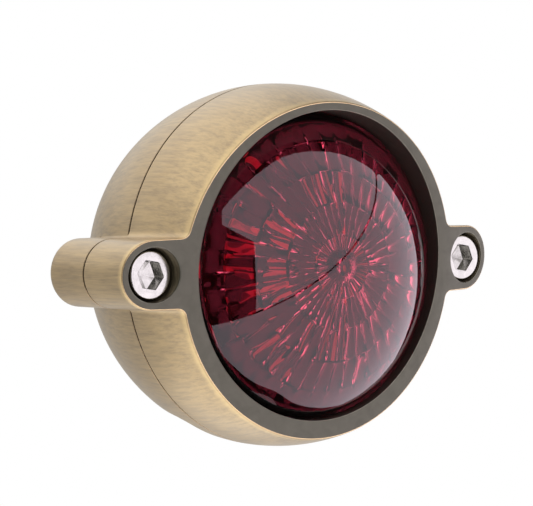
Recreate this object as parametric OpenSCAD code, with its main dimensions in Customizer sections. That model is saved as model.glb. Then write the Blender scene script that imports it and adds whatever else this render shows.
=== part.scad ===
// Round tail light with two clamping ears, a raked front face and a domed red lens.
// Frame: origin at the centre of the rear mounting pad, +Y out of the back of the light,
// +Z up, +X to the right as seen from the front. The lens faces -Y. Millimetres.
// Depths (names starting with d_) are measured backwards from the middle of the front face.

/* [Shell] */
// Largest radius of the two-part shell, at the joint between its halves
shell_r = 33.75; // [33:0.25:35]
// Radius of the long arc that the front half's outline follows
front_arc_r = 42; // [41:0.5:44]
// Radius of the long arc that the rear half's outline follows
rear_arc_r = 39.5; // [39:0.5:42]
// Depth of the shell, from the middle of the front face to the rear pad
body_depth = 48; // [47.5:0.25:49]
// Depth of the joint between the two halves
d_split = 15.6; // [15.4:0.1:15.8]
// Wall thickness of the rear half
wall_t = 2.6; // [2.4:0.1:2.8]
// Thickness of the flat seal between the halves
seal_t = 0.3; // [0.2:0.05:0.4]

/* [Front face] */
// Rake of the front face: its top leans forward by this angle
face_rake = 4.6; // [0:0.2:6]
// Radius of the face's sideways bow
face_bow_r = 330; // [250:10:600]
// Slope of the ears' faces, falling away outwards
ear_slope = 11.5; // [8:0.5:15]
// Radius of the bore that the lens stands in
bore_r = 28.2; // [27.8:0.1:28.4]
// Depth of the lip that holds the lens
d_lip = 6.6; // [6.4:0.1:6.8]

/* [Ears and bolts] */
// Distance from the middle to each bolt
bolt_x = 36.75; // [36.5:0.25:37.5]
// Radius of an ear
ear_r = 6.2; // [5.8:0.1:6.3]
// Depth of the bolt head's face
d_head = 3.8; // [3.6:0.1:4]
// Radius of the M5 socket head
head_r = 4.25; // [4.1:0.05:4.3]
// Height of the M5 socket head
head_h = 5; // [4.8:0.1:5]
// Length of the bolt below its head
bolt_len = 16; // [12:0.5:16]
// Hexagon socket, across flats
hex_af = 4; // [4:0.5:4.5]

/* [Lens] */
// Radius of the lens dome
dome_r = 38.5; // [37.5:0.5:40]
// Height of the dome in front of the middle of the face
dome_rise = 8.3; // [7.5:0.1:8.6]
// Thickness of the lens
lens_t = 2.2; // [2:0.1:2.4]

/* [Rear mount] */
// Distance between the two tapped mounting holes
mount_pitch = 24; // [23:0.5:25]
// Radius of the tapped holes (tapping size for M5)
mount_hole_r = 2.1; // [2:0.05:2.2]
// Radius of the cable's way through the grommet
cable_r = 2.6; // [2:0.1:2.8]

/* [Plate window] */
// Width of the window opening in the underside
window_w = 38; // [36:0.5:38]
// Length of the window opening from front to back
window_l = 10.2; // [9.6:0.2:10.2]

/* [Lamps] */
// Number of tail lamps, in a ring
tail_lamps = 8; // [6:1:8]
// Number of brake lamps, round the middle
brake_lamps = 4; // [3:1:4]

/* [Hidden] */
$fn = 96;

eps = 0.05;                                     // free play between pieces that only sit together
far = 60;                                       // longer than any cut has to be

d_front_end = d_split - seal_t / 2;             // back of the front half
d_rear_start = d_split + seal_t / 2;            // front of the rear half
floor_t = 4;                                    // floor behind the cavity
d_floor = body_depth - floor_t;

pocket_r = 30.3;                                // pocket behind the lip, for the lens flange
flange_r = pocket_r - 0.3;
skirt_r = bore_r - 0.25;                        // straight wall of the lens, inside the bore
lens_seal_t = 0.5;
d_flange = d_lip + lens_seal_t;                 // front of the lens flange
flange_t = 2;
d_reflector = d_flange + flange_t;              // front of the reflector flange
reflector_flange_t = 1.1;
d_carrier = d_reflector + reflector_flange_t;   // front rim of the carrier
d_dome_axis = dome_r - dome_rise;               // centre of the dome's sphere
d_dome_edge = d_dome_axis - sqrt(pow(dome_r, 2) - pow(skirt_r, 2));

washer_t = 0.8;
d_washer = d_head + head_h;
d_bolt_seat = d_washer + washer_t;
counterbore_r = 4.8;
bolt_r = 2.5;
thread_bore_r = bolt_r + eps;                   // running fit in place of the thread
bolt_clear_r = 2.75;
d_bolt_tip = d_washer + bolt_len;
d_ear_end = 26.9;                               // flat back of the rear ear
ear_round = 1.2;                                // rounding of that back's edge
ear_root_x = 26;
ear_fall_x = 31;                                // where the ears' sloping faces start
ear_flare_x = 34;                               // where the ear starts to widen towards its root
ear_flare = 4.4;                                // how much wider its root is, each way

d_board = 17.4;                                 // front of the lamp board
board_t = 1.6;
board_r = 26.5;
d_parts = d_board + board_t;                    // parts stand on the back of the board
board_flat_z = -20.1;                           // the board's lower edge is cut flat here
board_screw_pcr = 22;
board_screw_angles = [90, 210, 330];
lamp_w = 3.5;
lamp_h = 1.9;
tail_pcr = 15.5;
brake_pcr = 5;
lamp_hole_r = 2.7;

d_deck = 22;                                    // carrier's deck
deck_t = 2.5;
carrier_wall = 2.2;
carrier_gap_w = 48;                             // gap in the carrier's wall for the plate board
carrier_gap_top_z = -16.2;
d_carrier_gap = 16.6;
post_x = 20;                                    // posts that the carrier is screwed to
post_r = 3.2;
carrier_screw_r = 1.45;

d_window_front = 19.8;                          // front edge of the window opening
d_window = d_window_front + window_l / 2;       // middle of the window, from front to back
window_seat_z = -22.5;
window_seal_t = 0.2;
window_t = 1.8;
window_corner_r = 2.5;
light_way_w = 25;                               // light's way through the window seat
light_way_l = 6.5;
base_top_z = -20.3;                             // top of the thickened base round the window
base_w = 44;
base_l = 13.4;
d_base = 18.4;                                  // front of that base
plate_board_z = -19;
plate_board_t = 1.2;
plate_screw_x = 15.2;
plate_screw_r = 0.95;
plate_boss_r = 1.6;

mount_boss_r = 4.2;                             // bosses that the mounting screws go into
mount_boss_h = 6;
grommet_neck_r = 4.4;
grommet_flange_r = 6.2;
grommet_flange_t = 1.6;
grommet_grip = 2.4;                             // floor left between the grommet's flanges

// ---- helpers ---------------------------------------------------------------------------------

// a round bar along Y, from depth d0 to depth d1
module bar(x, z, d0, d1, r)
    translate([x, d0 - body_depth, z])
        rotate([-90, 0, 0])
            cylinder(h = d1 - d0, r = r);

// a round tube on the light's axis
module tube(d0, d1, r_out, r_in)
    difference() {
        bar(0, 0, d0, d1, r_out);
        bar(0, 0, d0 - 1, d1 + 1, r_in);
    }

// turn an outline of radius against depth round the light's axis
module turned()
    translate([0, -body_depth, 0])
        rotate([-90, 0, 0])
            rotate_extrude()
                children();

// a block from depth d0 to depth d1, centred on x and z
module block(x, z, d0, d1, w, h)
    translate([x - w / 2, d0 - body_depth, z - h / 2])
        cube([w, d1 - d0, h]);

// the shell's solid of revolution between two depths, its outline an arc drawn in by inset
module shell_solid(d0, d1, arc_r, inset = 0)
    turned()
        intersection() {
            translate([shell_r - arc_r, d_split])
                circle(r = arc_r - inset, $fn = 180);
            translate([0, d0])
                square([far, d1 - d0]);
        }

// a point on a ring: its x and z
function on_ring(r, a) = [r * cos(a), r * sin(a)];

// a rounded rectangle in plan, centred under the window, from height z0 up to z1
module window_shape(w, l, z0, z1, r = window_corner_r)
    translate([0, d_window - body_depth, z0])
        linear_extrude(height = z1 - z0)
            union() {
                square([w - 2 * r, l], center = true);
                square([w, l - 2 * r], center = true);
                for (sx = [-1, 1], sy = [-1, 1])
                    translate([sx * (w / 2 - r), sy * (l / 2 - r)])
                        circle(r = r, $fn = 48);
            }

// everything behind the raked, bowed front face, with the ears' sloping faces
module behind_face()
    translate([0, -body_depth, 0])
        rotate([face_rake, 0, 0])
            linear_extrude(height = 2 * far, center = true)
                intersection() {
                    translate([0, face_bow_r])
                        circle(r = face_bow_r, $fn = 360);
                    for (s = [-1, 1])
                        translate([s * ear_fall_x, pow(ear_fall_x, 2) / 2 / face_bow_r])
                            rotate(s * ear_slope)
                                translate([-2 * far, 0])
                                    square([4 * far, 2 * far]);
                    translate([-far, -far])
                        square([2 * far, 2 * far]);
                }

// outline of one ear, seen from the front, with its root widening by flare each way
module ear_outline(flare)
    union() {
        translate([bolt_x, 0])
            circle(r = ear_r);
        translate([ear_root_x, -ear_r])
            square([bolt_x - ear_root_x, 2 * ear_r]);
        polygon([[ear_root_x, -ear_r - flare], [ear_root_x, ear_r + flare],
                 [ear_flare_x, ear_r], [ear_flare_x, -ear_r]]);
    }

module ear_bar(d0, d1, flare)
    translate([0, d1 - body_depth, 0])
        rotate([90, 0, 0])
            linear_extrude(height = d1 - d0)
                ear_outline(flare);

// ---- casing ----------------------------------------------------------------------------------

module front_housing()
    color([0.72, 0.64, 0.50])
        difference() {
            intersection() {
                behind_face();
                union() {
                    shell_solid(-6, d_front_end, front_arc_r);
                    for (s = [0, 1])
                        mirror([s, 0, 0])
                            ear_bar(-6, d_front_end, ear_flare);
                }
            }
            bar(0, 0, -far, d_lip + 1, bore_r);
            bar(0, 0, d_lip, far, pocket_r);
            for (s = [-1, 1]) {
                bar(s * bolt_x, 0, -far, d_bolt_seat, counterbore_r);
                bar(s * bolt_x, 0, -far, far, bolt_clear_r);
            }
        }

// the rear ear: the ear's outline carried back, with the edge of its flat back rounded
module rear_ear() {
    ear_bar(d_rear_start, d_ear_end - ear_round, 0);
    bar(bolt_x, 0, d_ear_end - 2 * ear_round, d_ear_end, ear_r - ear_round);
    translate([bolt_x, d_ear_end - ear_round - body_depth, 0])
        rotate([90, 0, 0])
            rotate_extrude()
                translate([ear_r - ear_round, 0])
                    circle(r = ear_round, $fn = 32);
    block((ear_root_x + bolt_x) / 2, 0, d_ear_end - 2 * ear_round, d_ear_end,
          bolt_x - ear_root_x, 2 * (ear_r - ear_round));
    for (z = [-1, 1])
        translate([ear_root_x, d_ear_end - ear_round - body_depth, z * (ear_r - ear_round)])
            rotate([0, 90, 0])
                cylinder(h = bolt_x - ear_root_x, r = ear_round, $fn = 32);
}

// what stands inside the rear cavity: posts, bosses, window base, pads
module rear_inner_features() {
    for (s = [-1, 1]) {
        bar(s * post_x, 0, d_deck + deck_t, far, post_r);
        bar(s * mount_pitch / 2, 0, d_floor - mount_boss_h, far, mount_boss_r);
    }
    translate([-base_w / 2, d_base - body_depth, -far])
        cube([base_w, base_l, far + base_top_z]);
    for (s = [-1, 1])
        translate([s * plate_screw_x, d_window - body_depth, -far])
            cylinder(h = far + plate_board_z, r = plate_boss_r);
}

module rear_housing()
    color([0.68, 0.61, 0.48])
        difference() {
            union() {
                shell_solid(d_rear_start, body_depth, rear_arc_r);
                for (s = [0, 1])
                    mirror([s, 0, 0])
                        rear_ear();
            }
            difference() {
                shell_solid(0, d_floor, rear_arc_r, wall_t);
                rear_inner_features();
            }
            for (s = [-1, 1]) {
                bar(s * bolt_x, 0, 0, d_bolt_tip + 0.4, thread_bore_r);
                bar(s * post_x, 0, 0, d_deck + 10, carrier_screw_r + eps);
                bar(s * mount_pitch / 2, 0, d_floor - mount_boss_h + 1.5, far, mount_hole_r);
                translate([s * plate_screw_x, d_window - body_depth, base_top_z - 2])
                    cylinder(h = 10, r = plate_screw_r + eps);
            }
            window_shape(window_w, window_l, -far, window_seat_z);
            window_shape(light_way_w, light_way_l, -far, 0, 1);
            bar(0, 0, d_floor - 1, far, grommet_neck_r + 0.1);
            bar(0, 0, d_floor + grommet_grip, far, grommet_flange_r + 0.3);
        }

module housing_seal()
    color([0.08, 0.08, 0.08])
        tube(d_front_end, d_rear_start, shell_r - 0.4, pocket_r + 1.1);

// ---- lens and optics -------------------------------------------------------------------------

// a dome that turns into a straight skirt, with a flange that sits behind the lip
module lens()
    color([0.55, 0.02, 0.08, 0.7])
        turned()
            union() {
                intersection() {
                    difference() {
                        translate([0, d_dome_axis])
                            circle(r = dome_r, $fn = 240);
                        translate([0, d_dome_axis])
                            circle(r = dome_r - lens_t, $fn = 240);
                    }
                    translate([0, -20])
                        square([skirt_r, 20 + d_dome_edge + lens_t]);
                }
                translate([skirt_r - lens_t, d_dome_edge + 0.5])
                    square([lens_t, d_reflector - d_dome_edge - 0.5]);
                translate([skirt_r - lens_t, d_flange])
                    square([flange_r - skirt_r + lens_t, flange_t]);
            }

module lens_seal()
    color([0.08, 0.08, 0.08])
        tube(d_lip, d_flange, flange_r, bore_r + 0.2);

// the dark bowl behind the lens, with a hole for each lamp: its face is part of a sphere
module reflector() {
    bowl_r = 57.8;
    d_bowl_low = 16.3;
    bowl_t = 0.9;
    bowl_edge_r = 27.2;
    color([0.1, 0.1, 0.1])
        difference() {
            union() {
                turned()
                    intersection() {
                        difference() {
                            translate([0, d_bowl_low - bowl_r])
                                circle(r = bowl_r + bowl_t, $fn = 360);
                            translate([0, d_bowl_low - bowl_r])
                                circle(r = bowl_r, $fn = 360);
                        }
                        translate([0, d_reflector])
                            square([bowl_edge_r, far]);
                    }
                tube(d_reflector, d_carrier, flange_r, bowl_edge_r - 0.6);
            }
            for (i = [0:tail_lamps - 1]) {
                p = on_ring(tail_pcr, i * 360 / tail_lamps);
                bar(p[0], p[1], 0, far, lamp_hole_r);
            }
            for (i = [0:brake_lamps - 1]) {
                p = on_ring(brake_pcr, 45 + i * 360 / brake_lamps);
                bar(p[0], p[1], 0, far, lamp_hole_r);
            }
        }
}

// ---- boards and what holds them --------------------------------------------------------------

module board_carrier()
    color([0.15, 0.15, 0.16])
        difference() {
            union() {
                tube(d_carrier, d_deck + deck_t, flange_r - 0.2, flange_r - carrier_wall);
                tube(d_deck, d_deck + deck_t, flange_r - carrier_wall + 0.1, 14);
                for (a = board_screw_angles) {
                    p = on_ring(board_screw_pcr, a);
                    bar(p[0], p[1], d_parts, d_deck + 1, 2.5);
                }
            }
            translate([-carrier_gap_w / 2, d_carrier_gap - body_depth, -far])
                cube([carrier_gap_w, far, far + carrier_gap_top_z]);
            for (s = [-1, 1])
                bar(s * post_x, 0, 0, far, 1.6);
            for (a = board_screw_angles) {
                p = on_ring(board_screw_pcr, a);
                bar(p[0], p[1], 0, d_deck + deck_t - 0.5, 1.05);
            }
        }

// a pan-head screw along Y with a cross slot; d is the seat below its head
module small_screw(x, z, d, r, length, cap_r, cap_h)
    difference() {
        union() {
            bar(x, z, d - cap_h, d, cap_r);
            bar(x, z, d - cap_h, d + length, r);
        }
        block(x, z, d - cap_h - 1, d - cap_h + 0.5, cap_r * 1.1, 0.5);
        block(x, z, d - cap_h - 1, d - cap_h + 0.5, 0.5, cap_r * 1.1);
    }

module carrier_screws()
    color([0.75, 0.75, 0.77])
        for (s = [-1, 1])
            small_screw(s * post_x, 0, d_deck, carrier_screw_r, 9, 2.7, 1.8);

module led_board()
    color([0.05, 0.25, 0.12])
        difference() {
            bar(0, 0, d_board, d_parts, board_r);
            translate([-far, -far, board_flat_z - far])
                cube([2 * far, 2 * far, far]);
            for (a = board_screw_angles) {
                p = on_ring(board_screw_pcr, a);
                bar(p[0], p[1], 0, far, 1.2);
            }
        }

module board_screws()
    color([0.75, 0.75, 0.77])
        for (a = board_screw_angles) {
            p = on_ring(board_screw_pcr, a);
            small_screw(p[0], p[1], d_board, 1, 5.5, 1.9, 1.2);
        }

// a surface-mount lamp: a square body with a round lens let into its front
module lamp(x, z)
    union() {
        block(x, z, d_board - lamp_h + 0.5, d_board, lamp_w, lamp_w);
        bar(x, z, d_board - lamp_h, d_board - 0.2, 1.4);
    }

module brake_leds()
    color([0.9, 0.85, 0.6])
        for (i = [0:brake_lamps - 1]) {
            p = on_ring(brake_pcr, 45 + i * 360 / brake_lamps);
            lamp(p[0], p[1]);
        }

module tail_leds()
    color([0.9, 0.85, 0.6])
        for (i = [0:tail_lamps - 1]) {
            p = on_ring(tail_pcr, i * 360 / tail_lamps);
            lamp(p[0], p[1]);
        }

module resistors() {
    count = 6;
    pitch = 4.6;
    color([0.1, 0.1, 0.1])
        for (i = [0:count - 1])
            block((i - (count - 1) / 2) * pitch, 13, d_parts, d_parts + 0.6, 1.6, 3.2);
}

module diodes()
    color([0.12, 0.12, 0.12])
        for (s = [-1, 1])
            block(s * 10.5, 7, d_parts, d_parts + 2, 4, 2.6);

module capacitor()
    color([0.7, 0.7, 0.72])
        union() {
            block(7, -4, d_parts, d_parts + 0.8, 5.2, 5.2);
            bar(7, -4, d_parts, d_parts + 5, 2.5);
        }

module driver_chip()
    color([0.1, 0.1, 0.1])
        union() {
            block(-6, -4, d_parts + 0.2, d_parts + 1.6, 5, 4);
            for (i = [-1.5:1:1.5], s = [-1, 1])
                block(-6 + i * 1.2, -4 + s * 2.4, d_parts, d_parts + 0.5, 0.4, 1.2);
        }

// three-way header that the light's leads plug into
module lead_header()
    color([0.9, 0.9, 0.86])
        difference() {
            block(0, 6, d_parts, d_parts + 5, 9, 5);
            block(0, 6, d_parts + 1.2, far, 7.6, 3.6);
        }

// edge socket that joins the plate board to the lamp board
module board_socket()
    color([0.12, 0.12, 0.13])
        difference() {
            block(0, -18.4, d_parts, d_parts + 3.5, 12, 3.3);
            translate([-4.6, d_parts + 1.1 - body_depth, plate_board_z - 0.1])
                cube([9.2, 5, plate_board_t + 0.2]);
        }

module plate_board()
    color([0.05, 0.25, 0.12])
        difference() {
            translate([0, 0, plate_board_z])
                linear_extrude(height = plate_board_t)
                    union() {
                        translate([-17, d_parts + 3.6 - body_depth])
                            square([34, 7]);
                        translate([-4.5, d_parts + 1.2 - body_depth])
                            square([9, 4]);
                    }
            for (s = [-1, 1])
                translate([s * plate_screw_x, d_window - body_depth, -far])
                    cylinder(h = far, r = plate_screw_r + 0.1);
        }

module plate_board_screws()
    color([0.75, 0.75, 0.77])
        for (s = [-1, 1])
            translate([s * plate_screw_x, d_window - body_depth, plate_board_z + plate_board_t])
                difference() {
                    union() {
                        cylinder(h = 1, r = 1.7);
                        translate([0, 0, -4])
                            cylinder(h = 4.5, r = plate_screw_r);
                    }
                    translate([-1.2, -0.2, 0.6])
                        cube([2.4, 0.4, 1]);
                }

module plate_leds()
    color([0.95, 0.95, 0.85])
        for (x = [-9, 0, 9])
            translate([x, d_window - body_depth, plate_board_z - 1])
                union() {
                    translate([-1.5, -1.5, 0.3])
                        cube([3, 3, 0.7]);
                    cylinder(h = 0.9, r = 1.2);
                }

module plate_window()
    color([0.85, 0.88, 0.9, 0.5])
        window_shape(window_w - 0.3, window_l - 0.3,
                     window_seat_z - window_seal_t - window_t, window_seat_z - window_seal_t);

module window_seal()
    color([0.08, 0.08, 0.08])
        difference() {
            window_shape(window_w - 0.4, window_l - 0.4, window_seat_z - window_seal_t, window_seat_z);
            window_shape(light_way_w + 1, light_way_l + 0.4, -far, 0, 1);
        }

module cable_grommet()
    color([0.06, 0.06, 0.06])
        difference() {
            union() {
                bar(0, 0, d_floor - grommet_flange_t, body_depth - 0.2, grommet_neck_r);
                bar(0, 0, d_floor - grommet_flange_t, d_floor, grommet_flange_r);
                bar(0, 0, d_floor + grommet_grip, body_depth - 0.2, grommet_flange_r);
            }
            bar(0, 0, 0, far, cable_r);
        }

// ---- fasteners that clamp the halves ---------------------------------------------------------

// socket-head bolt: chamfered head, hexagon socket with a countersunk mouth
module bolt(x) {
    hex_r = hex_af / 2 / cos(30);
    rim = 0.35;
    color([0.9, 0.9, 0.92])
        difference() {
            translate([x, -body_depth, 0])
                rotate([-90, 0, 0])
                    rotate_extrude()
                        polygon([[0, d_head], [head_r - rim, d_head], [head_r, d_head + rim],
                                 [head_r, d_washer], [bolt_r, d_washer],
                                 [bolt_r, d_bolt_tip - 0.6], [bolt_r - 0.6, d_bolt_tip], [0, d_bolt_tip]]);
            translate([x, d_head - 1 - body_depth, 0])
                rotate([-90, 0, 0])
                    cylinder(h = 1 + 2.8, r = hex_r, $fn = 6);
            translate([x, d_head - body_depth, 0])
                rotate([-90, 0, 0])
                    rotate_extrude()
                        polygon([[0, -1], [hex_r + 1.05, -1], [hex_r - 0.35, 0.4], [0, 0.8]]);
        }
}

module washer(x)
    color([0.1, 0.1, 0.1])
        difference() {
            bar(x, 0, d_washer, d_bolt_seat, head_r + 0.2);
            bar(x, 0, 0, far, bolt_r + eps);
        }

front_housing();
rear_housing();
housing_seal();
lens();
lens_seal();
reflector();
board_carrier();
carrier_screws();
led_board();
board_screws();
brake_leds();
tail_leds();
resistors();
diodes();
capacitor();
driver_chip();
lead_header();
board_socket();
plate_board();
plate_board_screws();
plate_leds();
plate_window();
window_seal();
cable_grommet();
bolt(-bolt_x);  // bolt_left
bolt(bolt_x);  // bolt_right
washer(-bolt_x);  // washer_left
washer(bolt_x);  // washer_right
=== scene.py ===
# %% [markdown]
# # A round tail light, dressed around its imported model
# The light is a two-part metal shell with two clamping ears, a domed red lens and, behind
# it, a lamp board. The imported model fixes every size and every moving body. This lesson
# gives each piece the surface that the real one has, and replaces only the pieces whose
# edges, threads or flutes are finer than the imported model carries.

import math

import bmesh
import bpy
import numpy as np
from mathutils import Matrix, Vector, geometry


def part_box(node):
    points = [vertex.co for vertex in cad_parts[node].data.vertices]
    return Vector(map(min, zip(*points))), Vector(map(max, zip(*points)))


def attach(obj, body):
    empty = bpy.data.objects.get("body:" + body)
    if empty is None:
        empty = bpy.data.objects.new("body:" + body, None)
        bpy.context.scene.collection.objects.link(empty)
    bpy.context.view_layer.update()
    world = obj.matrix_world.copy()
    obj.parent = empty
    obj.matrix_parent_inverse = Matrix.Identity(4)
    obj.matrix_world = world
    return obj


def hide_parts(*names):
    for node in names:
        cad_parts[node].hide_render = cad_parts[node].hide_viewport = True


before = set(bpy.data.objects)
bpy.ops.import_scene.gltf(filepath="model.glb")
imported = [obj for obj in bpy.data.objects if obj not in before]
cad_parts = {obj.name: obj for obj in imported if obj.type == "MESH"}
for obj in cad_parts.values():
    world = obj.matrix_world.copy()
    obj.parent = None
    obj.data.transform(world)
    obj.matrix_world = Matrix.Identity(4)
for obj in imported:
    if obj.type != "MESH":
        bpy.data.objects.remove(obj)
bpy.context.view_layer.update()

# %% [markdown]
# ## Driving sizes
# Lengths are in millimetres, because such pieces are machined and moulded to millimetres,
# and they become metres only when a mesh is made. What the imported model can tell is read
# from its boxes. Depth counts backwards from the middle of the front face.

# %% Driving sizes
MM = 0.001


def box_mm(node):
    low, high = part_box(node)
    return np.array(low) / MM, np.array(high) / MM


_, front_high = box_mm("front_housing")
rear_low, _ = box_mm("rear_housing")
bolt_low, bolt_high = box_mm("bolt_right")
BODY_DEPTH = 48.0
SHELL_R = 33.75
FRONT_ARC_R = 42.0
REAR_ARC_R = 39.5
D_SPLIT = 15.6
D_FRONT_END = BODY_DEPTH + front_high[1]
D_REAR_START = BODY_DEPTH + rear_low[1]
BOLT_X = (bolt_low[0] + bolt_high[0]) / 2
HEAD_R = (bolt_high[0] - bolt_low[0]) / 2
EAR_R = front_high[0] - BOLT_X
print("halves meet at", round(D_FRONT_END, 2), "bolts at", round(BOLT_X, 2), "ears", round(EAR_R, 2))


# %% [markdown]
# ## The camera
# A long lens from the front left, a little above the middle of the light. It comes first,
# because every later choice is judged through it.

# %% Camera
CAMERA_AT = Vector((-0.2713, -0.3744, 0.0184))
CAMERA_FORWARD = Vector((0.6184, 0.7850, -0.0371))
CAMERA_ROLL = math.radians(-1.32)

camera = bpy.data.objects.new("camera", bpy.data.cameras.new("camera"))
bpy.context.scene.collection.objects.link(camera)
camera.location = CAMERA_AT
aim = CAMERA_FORWARD.to_track_quat("-Z", "Y").to_matrix()
camera.rotation_euler = (aim @ Matrix.Rotation(CAMERA_ROLL, 3, "Z")).to_euler()
camera.data.sensor_width = 36.0
camera.data.lens = 157.96
camera.data.clip_start = 0.01
bpy.context.scene.camera = camera
bpy.context.scene.view_settings.view_transform = "Standard"
print("camera", round((CAMERA_AT - Vector((0, -0.045, 0))).length, 3), "m from the lens")

# %% [markdown]
# ## The stage
# A pale floor well below the light, a white surround, and a tent of soft light panels.
# A tent could be built from area lights, but their straight edges would show as straight
# lines in the domed lens. Curved panels follow a sphere round the lens, so each edge can
# be drawn as an azimuth and an elevation.

# %% Floor and surround
FLOOR_Z = -0.62


def mesh_object(name, verts, faces):
    mesh = bpy.data.meshes.new(name)
    mesh.from_pydata([tuple(v) for v in verts], [], faces)
    mesh.update()
    made = bpy.data.objects.new(name, mesh)
    bpy.context.scene.collection.objects.link(made)
    return made


def disc(name, radius, z, segments=96):
    ring = [(radius * math.cos(a), radius * math.sin(a), z)
            for a in np.linspace(0, 2 * math.pi, segments, endpoint=False)]
    return mesh_object(name, ring, [tuple(range(segments))])


floor = disc("floor", 2.4, FLOOR_Z)


def new_material(name):
    made = bpy.data.materials.new(name)
    made.use_nodes = True
    return made, made.node_tree, made.node_tree.nodes["Principled BSDF"]


floor_paint, _, floor_shader = new_material("floor_paint")
floor_shader.inputs["Base Color"].default_value = (0.86, 0.86, 0.86, 1)
floor_shader.inputs["Roughness"].default_value = 0.9
floor.data.materials.append(floor_paint)

world = bpy.data.worlds.new("studio")
world.use_nodes = True
bpy.context.scene.world = world
sky = world.node_tree
backdrop = sky.nodes["Background"]
backdrop.inputs["Color"].default_value = (1, 1, 1, 1)
fill = sky.nodes.new("ShaderNodeBackground")
fill.inputs["Color"].default_value = (1.0, 0.985, 0.96, 1)
fill.inputs["Strength"].default_value = 0.8
ray = sky.nodes.new("ShaderNodeLightPath")
pick = sky.nodes.new("ShaderNodeMixShader")
sky.links.new(ray.outputs["Is Camera Ray"], pick.inputs[0])
sky.links.new(fill.outputs[0], pick.inputs[1])
sky.links.new(backdrop.outputs[0], pick.inputs[2])
sky.links.new(pick.outputs[0], sky.nodes["World Output"].inputs["Surface"])
print("floor", FLOOR_Z, "m below the light's axis")

# %% [markdown]
# ## The light tent
# Each panel is a curved sheet between two azimuths, whose lower and upper edges are
# formulas. Emission on a mesh is used instead of lamps, because a mirror-smooth dome shows
# the light's own shape. A dark cloth behind the panels keeps the gaps between them dark.

# %% Light tent
TENT_R = 0.6
TENT_CENTRE = Vector((0, -0.05, 0))


def direction(azimuth, elevation):
    a, e = math.radians(azimuth), math.radians(elevation)
    return Vector((math.sin(a) * math.cos(e), -math.cos(a) * math.cos(e), math.sin(e)))


def light_material(name, radiance, tint=(1, 1, 1)):
    made = bpy.data.materials.new(name)
    made.use_nodes = True
    tree = made.node_tree
    tree.nodes.clear()
    glow = tree.nodes.new("ShaderNodeEmission")
    glow.inputs["Color"].default_value = (*tint, 1)
    glow.inputs["Strength"].default_value = radiance
    out = tree.nodes.new("ShaderNodeOutputMaterial")
    tree.links.new(glow.outputs[0], out.inputs["Surface"])
    return made


def tent_panel(name, az0, az1, low, high, material, radius=TENT_R, columns=48, rows=16):
    """A curved panel whose lower and upper edges are functions of azimuth."""
    verts, faces = [], []
    for i in range(columns + 1):
        az = az0 + (az1 - az0) * i / columns
        for j in range(rows + 1):
            el = low(az) + (high(az) - low(az)) * j / rows
            verts.append(TENT_CENTRE + direction(az, el) * radius)
    for i in range(columns):
        for j in range(rows):
            a = i * (rows + 1) + j
            faces.append((a, a + rows + 1, a + rows + 2, a + 1))
    made = mesh_object(name, verts, faces)
    made.data.materials.append(material)
    made.visible_camera = False
    return made


# %% Edges of the two front panels
def seam(az):
    """The slanting line where the upper and the lower panel nearly meet."""
    return math.degrees(math.atan(0.62 * math.sin(math.radians(az - 26)))) - 1


def tent_top(az):
    return 58 * math.sqrt(max(0.0, 1 - ((az - 18) / 72) ** 2))


def tent_bottom(az):
    return -70 * math.sqrt(max(0.0, 1 - abs((az - 25) / 88) ** 3.2))


def notch_top(az):
    """The upper panel stops short of the camera, which stands in a dark gap."""
    return seam(az) + 1.0 if az > -24 else 14 + (-24 - az) * 0.55


def lower_top(az):
    return min(seam(az), 25 - (az - 85) * 2)


panel_light = light_material("panel_light", 2.05, (0.98, 0.90, 1.0))
tent_panel("upper_panel", -42, 81, notch_top, lambda az: max(tent_top(az), notch_top(az)), panel_light,
           columns=123)
tent_panel("lower_panel", -50, 112, tent_bottom, lambda az: max(lower_top(az), tent_bottom(az)), panel_light)


# %% Side and back walls, and the dark cloth
def side_wall(name, az0, az1, bands):
    """Stacked cloths on one side; each band is its lower edge, upper edge and radiance."""
    for low, high, radiance in bands:
        label = f"{name}_{round(low)}"
        cloth = light_material(label, radiance, (1.0, 0.985, 0.955))
        tent_panel(label, az0, az1, lambda az, low=low: low, lambda az, high=high: high, cloth)


side_wall("left_wall", -128, -76, [(-84, -30, 1.35), (-30, 34, 0.80), (34, 84, 1.2)])
side_wall("back_wall", -215, -128, [(-84, -42, 1.3), (-42, 14, 0.50), (14, 34, 0.85), (34, 84, 1.2)])
dark_cloth, _, dark_shader = new_material("dark_cloth")
dark_shader.inputs["Base Color"].default_value = (0.004, 0.004, 0.004, 1)
dark_shader.inputs["Roughness"].default_value = 1.0
tent_panel("flag", -72, 122, lambda az: -88, lambda az: 80, dark_cloth, radius=TENT_R * 1.08)

# %% [markdown]
# ## A mesh from loops
# The shells are turned and milled, so nearly all of their surface is a stack of closed
# loops: the outline at one depth, the same outline a little deeper, and so on. A small
# maker welds equal points, joins loops with quads and fills flat faces, so every shell
# comes out as one closed solid with an even mesh that shades cleanly.

# %% Loop-by-loop mesh maker
def place(x, depth, z):
    return Vector((x * MM, (depth - BODY_DEPTH) * MM, z * MM))


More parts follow.
